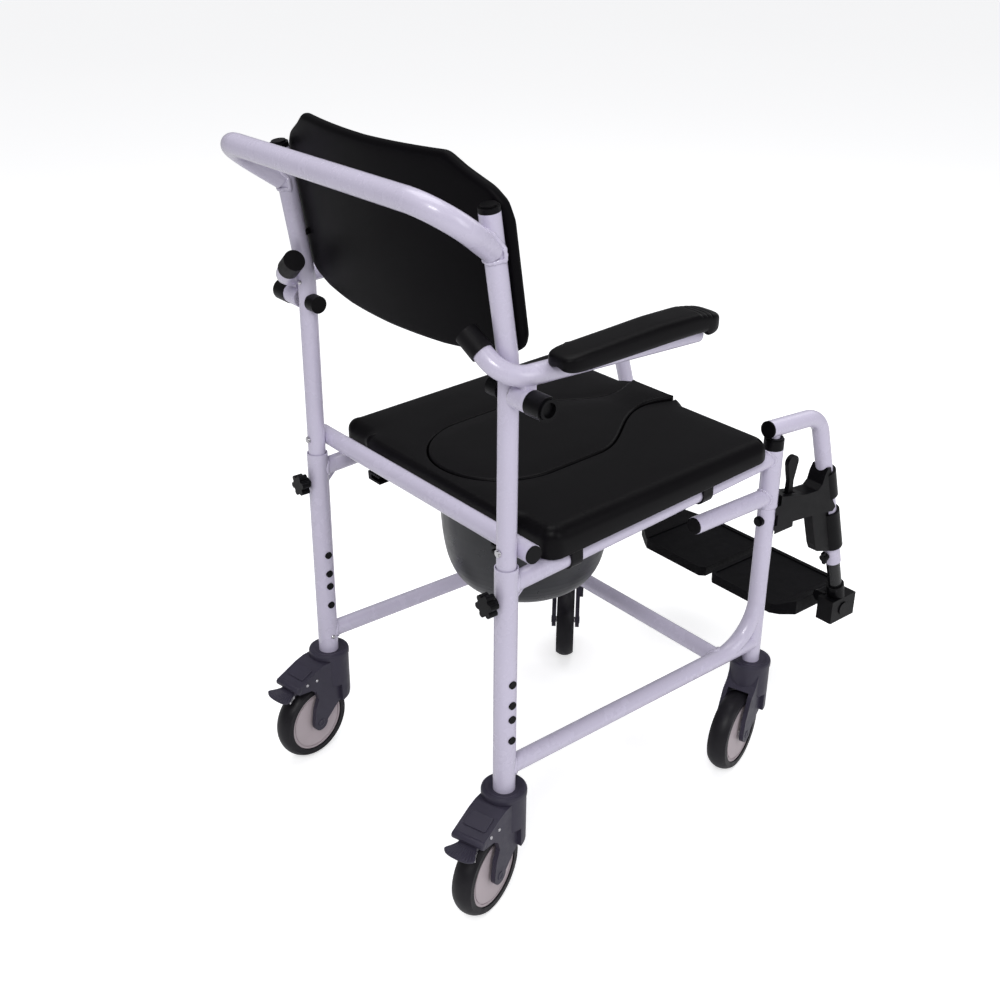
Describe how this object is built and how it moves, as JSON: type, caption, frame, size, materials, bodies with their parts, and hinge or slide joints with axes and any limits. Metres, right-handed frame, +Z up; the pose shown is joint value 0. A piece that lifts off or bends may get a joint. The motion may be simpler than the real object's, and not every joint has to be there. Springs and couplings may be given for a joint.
{
  "type": "commode chair",
  "caption": "Wheeled commode and shower chair with a keyhole seat and lift-out cover, slide-out pan, swing-up armrests, push bar, swing-away footrests and braked casters.",
  "frame": {"origin": "on the floor under the middle of the whole chair", "axes": "+Z up; the sitter faces -Y; +X is the sitter's left"},
  "size_m": [0.584, 0.893, 0.9919],
  "materials": {
    "frame_paint": "gloss powder coat, white with a lavender cast",
    "pad_skin": "black satin moulded skin over foam",
    "black_plastic": "black moulded plastic, satin",
    "rubber_sleeve": "black rubber",
    "tyre": "dark grey-purple rubber tread",
    "wheel_hub": "pale warm grey plastic",
    "caster_plastic": "slate-purple plastic, satin",
    "steel": "zinc plated",
    "black_steel": "black coated tube",
    "pan_plastic": "dark grey plastic",
    "footplate_plastic": "black plastic, finely grained"
  },
  "bodies": {
    "frame": {"side_frame_left": "frame_paint", "side_frame_right": "frame_paint", "frame_crossbars": "frame_paint", "frame_plugs": "black_plastic", "hanger_bushes": "black_plastic", "hanger_catch_bolts": "black_plastic", "seat_pad": "pad_skin", "seat_clips": "black_plastic", "pan_rails": "black_plastic", "caster_collars": "caster_plastic", "caster_stems": "steel"},
    "seat_cover": {"seat_insert": "pad_skin"},
    "pan": {"commode_pan": "pan_plastic"},
    "back_frame": {"back_posts": "frame_paint", "push_bar": "frame_paint", "back_pad": "pad_skin", "back_bolts": "steel", "back_caps": "black_plastic"},
    "arm_left": {"arm_tube_left": "frame_paint", "arm_pad_left": "pad_skin", "arm_hub_cap_left": "black_plastic", "arm_stop_left": "rubber_sleeve"},
    "star_knob_left": {"star_knob_left": "black_plastic"},
    "arm_right": {"arm_tube_right": "frame_paint", "arm_pad_right": "pad_skin", "arm_hub_cap_right": "black_plastic", "arm_stop_right": "rubber_sleeve"},
    "star_knob_right": {"star_knob_right": "black_plastic"},
    "caster_rear_left": {"fork_rear_left": "caster_plastic", "axle_rear_left": "steel"},
    "wheel_rear_left": {"tyre_rear_left": "tyre", "wheel_hub_rear_left": "wheel_hub"},
    "caster_rear_right": {"fork_rear_right": "caster_plastic", "axle_rear_right": "steel"},
    "wheel_rear_right": {"tyre_rear_right": "tyre", "wheel_hub_rear_right": "wheel_hub"},
    "caster_front_left": {"fork_front_left": "caster_plastic", "axle_front_left": "steel"},
    "wheel_front_left": {"tyre_front_left": "tyre", "wheel_hub_front_left": "wheel_hub"},
    "caster_front_right": {"fork_front_right": "caster_plastic", "axle_front_right": "steel"},
    "wheel_front_right": {"tyre_front_right": "tyre", "wheel_hub_front_right": "wheel_hub"},
    "brake_pedal_left": {"brake_pedal_left": "caster_plastic"},
    "brake_pedal_right": {"brake_pedal_right": "caster_plastic"},
    "hanger_left": {"hanger_tube_left": "frame_paint", "hanger_bracket_left": "black_plastic"},
    "release_lever_left": {"release_lever_left": "black_plastic"},
    "footrest_left": {"footrest_tube_left": "black_steel", "footplate_pivot_left": "black_plastic"},
    "footplate_left": {"footplate_left": "footplate_plastic"},
    "height_knob_left": {"height_knob_left": "black_plastic"},
    "hanger_right": {"hanger_tube_right": "frame_paint", "hanger_bracket_right": "black_plastic"},
    "release_lever_right": {"release_lever_right": "black_plastic"},
    "footrest_right": {"footrest_tube_right": "black_steel", "footplate_pivot_right": "black_plastic"},
    "footplate_right": {"footplate_right": "footplate_plastic"},
    "height_knob_right": {"height_knob_right": "black_plastic"}
  },
  "joints": [
    {"name": "seat_cover_lift", "type": "slide", "parent": "frame", "child": "seat_cover", "axis": [0, 0.0663, 0.9978], "range_m": [0, 0.12]},
    {"name": "pan_slide", "type": "slide", "parent": "frame", "child": "pan", "axis": [0, 0.9978, -0.0663], "range_m": [0, 0.3]},
    {"name": "back_frame_lift", "type": "slide", "parent": "frame", "child": "back_frame", "axis": [0, 0, 1], "range_m": [0, 0.12]},
    {"name": "arm_left_hinge", "type": "hinge", "parent": "back_frame", "child": "arm_left", "pos_m": [0.243, 0.321, 0.729], "axis": [-1, 0, 0], "range_deg": [0, 90]},
    {"name": "star_knob_left_turn", "type": "hinge", "parent": "frame", "child": "star_knob_left", "pos_m": [0.215, 0.351, 0.459], "axis": [0, 1, 0], "range_deg": [0, 360]},
    {"name": "arm_right_hinge", "type": "hinge", "parent": "back_frame", "child": "arm_right", "pos_m": [-0.243, 0.321, 0.729], "axis": [-1, 0, 0], "range_deg": [0, 90]},
    {"name": "star_knob_right_turn", "type": "hinge", "parent": "frame", "child": "star_knob_right", "pos_m": [-0.215, 0.351, 0.459], "axis": [0, 1, 0], "range_deg": [0, 360]},
    {"name": "caster_rear_left_swivel", "type": "hinge", "parent": "frame", "child": "caster_rear_left", "pos_m": [0.215, 0.321, 0.14], "axis": [0, 0, 1], "continuous": true},
    {"name": "wheel_rear_left_spin", "type": "hinge", "parent": "caster_rear_left", "child": "wheel_rear_left", "pos_m": [0.20736, 0.36433, 0.063], "axis": [0.9848, 0.1736, 0], "continuous": true},
    {"name": "caster_rear_right_swivel", "type": "hinge", "parent": "frame", "child": "caster_rear_right", "pos_m": [-0.215, 0.321, 0.14], "axis": [0, 0, 1], "continuous": true},
    {"name": "wheel_rear_right_spin", "type": "hinge", "parent": "caster_rear_right", "child": "wheel_rear_right", "pos_m": [-0.2286, 0.36285, 0.063], "axis": [0.9511, 0.309, 0], "continuous": true},
    {"name": "caster_front_left_swivel", "type": "hinge", "parent": "frame", "child": "caster_front_left", "pos_m": [0.21, -0.171, 0.14], "axis": [0, 0, 1], "continuous": true},
    {"name": "wheel_front_left_spin", "type": "hinge", "parent": "caster_front_left", "child": "wheel_front_left", "pos_m": [0.17782, -0.14099, 0.063], "axis": [0.682, 0.7314, 0], "continuous": true},
    {"name": "caster_front_right_swivel", "type": "hinge", "parent": "frame", "child": "caster_front_right", "pos_m": [-0.21, -0.171, 0.14], "axis": [0, 0, 1], "continuous": true},
    {"name": "wheel_front_right_spin", "type": "hinge", "parent": "caster_front_right", "child": "wheel_front_right", "pos_m": [-0.22286, -0.12892, 0.063], "axis": [0.9563, 0.2924, 0], "continuous": true},
    {"name": "brake_pedal_left_press", "type": "hinge", "parent": "caster_rear_left", "child": "brake_pedal_left", "pos_m": [0.20302, 0.38895, 0.135], "axis": [-0.9848, -0.1736, 0], "range_deg": [0, 10]},
    {"name": "brake_pedal_right_press", "type": "hinge", "parent": "caster_rear_right", "child": "brake_pedal_right", "pos_m": [-0.23632, 0.38662, 0.135], "axis": [-0.9511, -0.309, 0], "range_deg": [0, 10]},
    {"name": "hanger_left_swing", "type": "hinge", "parent": "frame", "child": "hanger_left", "pos_m": [0.21, -0.171, 0.51], "axis": [0, 0, 1], "range_deg": [0, 90]},
    {"name": "release_lever_left_pull", "type": "hinge", "parent": "hanger_left", "child": "release_lever_left", "pos_m": [0.21, -0.217, 0.432], "axis": [-1, 0, 0], "range_deg": [0, 15], "stiffness_Nm_per_rad": 0.3, "springref_deg": -5.73},
    {"name": "footrest_left_height", "type": "slide", "parent": "hanger_left", "child": "footrest_left", "axis": [0, -0.2924, -0.9563], "range_m": [-0.045, 0.06]},
    {"name": "footplate_left_fold", "type": "hinge", "parent": "footrest_left", "child": "footplate_left", "pos_m": [0.186, -0.37979, 0.202], "axis": [0, 1, 0], "range_deg": [0, 90]},
    {"name": "height_knob_left_turn", "type": "hinge", "parent": "hanger_left", "child": "height_knob_left", "pos_m": [0.21, -0.32518, 0.29156], "axis": [0, 0.9563, -0.2924], "range_deg": [0, 360]},
    {"name": "hanger_right_swing", "type": "hinge", "parent": "frame", "child": "hanger_right", "pos_m": [-0.21, -0.171, 0.51], "axis": [0, 0, -1], "range_deg": [0, 90]},
    {"name": "release_lever_right_pull", "type": "hinge", "parent": "hanger_right", "child": "release_lever_right", "pos_m": [-0.21, -0.217, 0.432], "axis": [-1, 0, 0], "range_deg": [0, 15], "stiffness_Nm_per_rad": 0.3, "springref_deg": -5.73},
    {"name": "footrest_right_height", "type": "slide", "parent": "hanger_right", "child": "footrest_right", "axis": [0, -0.2924, -0.9563], "range_m": [-0.045, 0.06]},
    {"name": "footplate_right_fold", "type": "hinge", "parent": "footrest_right", "child": "footplate_right", "pos_m": [-0.186, -0.37979, 0.202], "axis": [0, -1, 0], "range_deg": [0, 90]},
    {"name": "height_knob_right_turn", "type": "hinge", "parent": "hanger_right", "child": "height_knob_right", "pos_m": [-0.21, -0.32518, 0.29156], "axis": [0, 0.9563, -0.2924], "range_deg": [0, 360]}
  ]
}
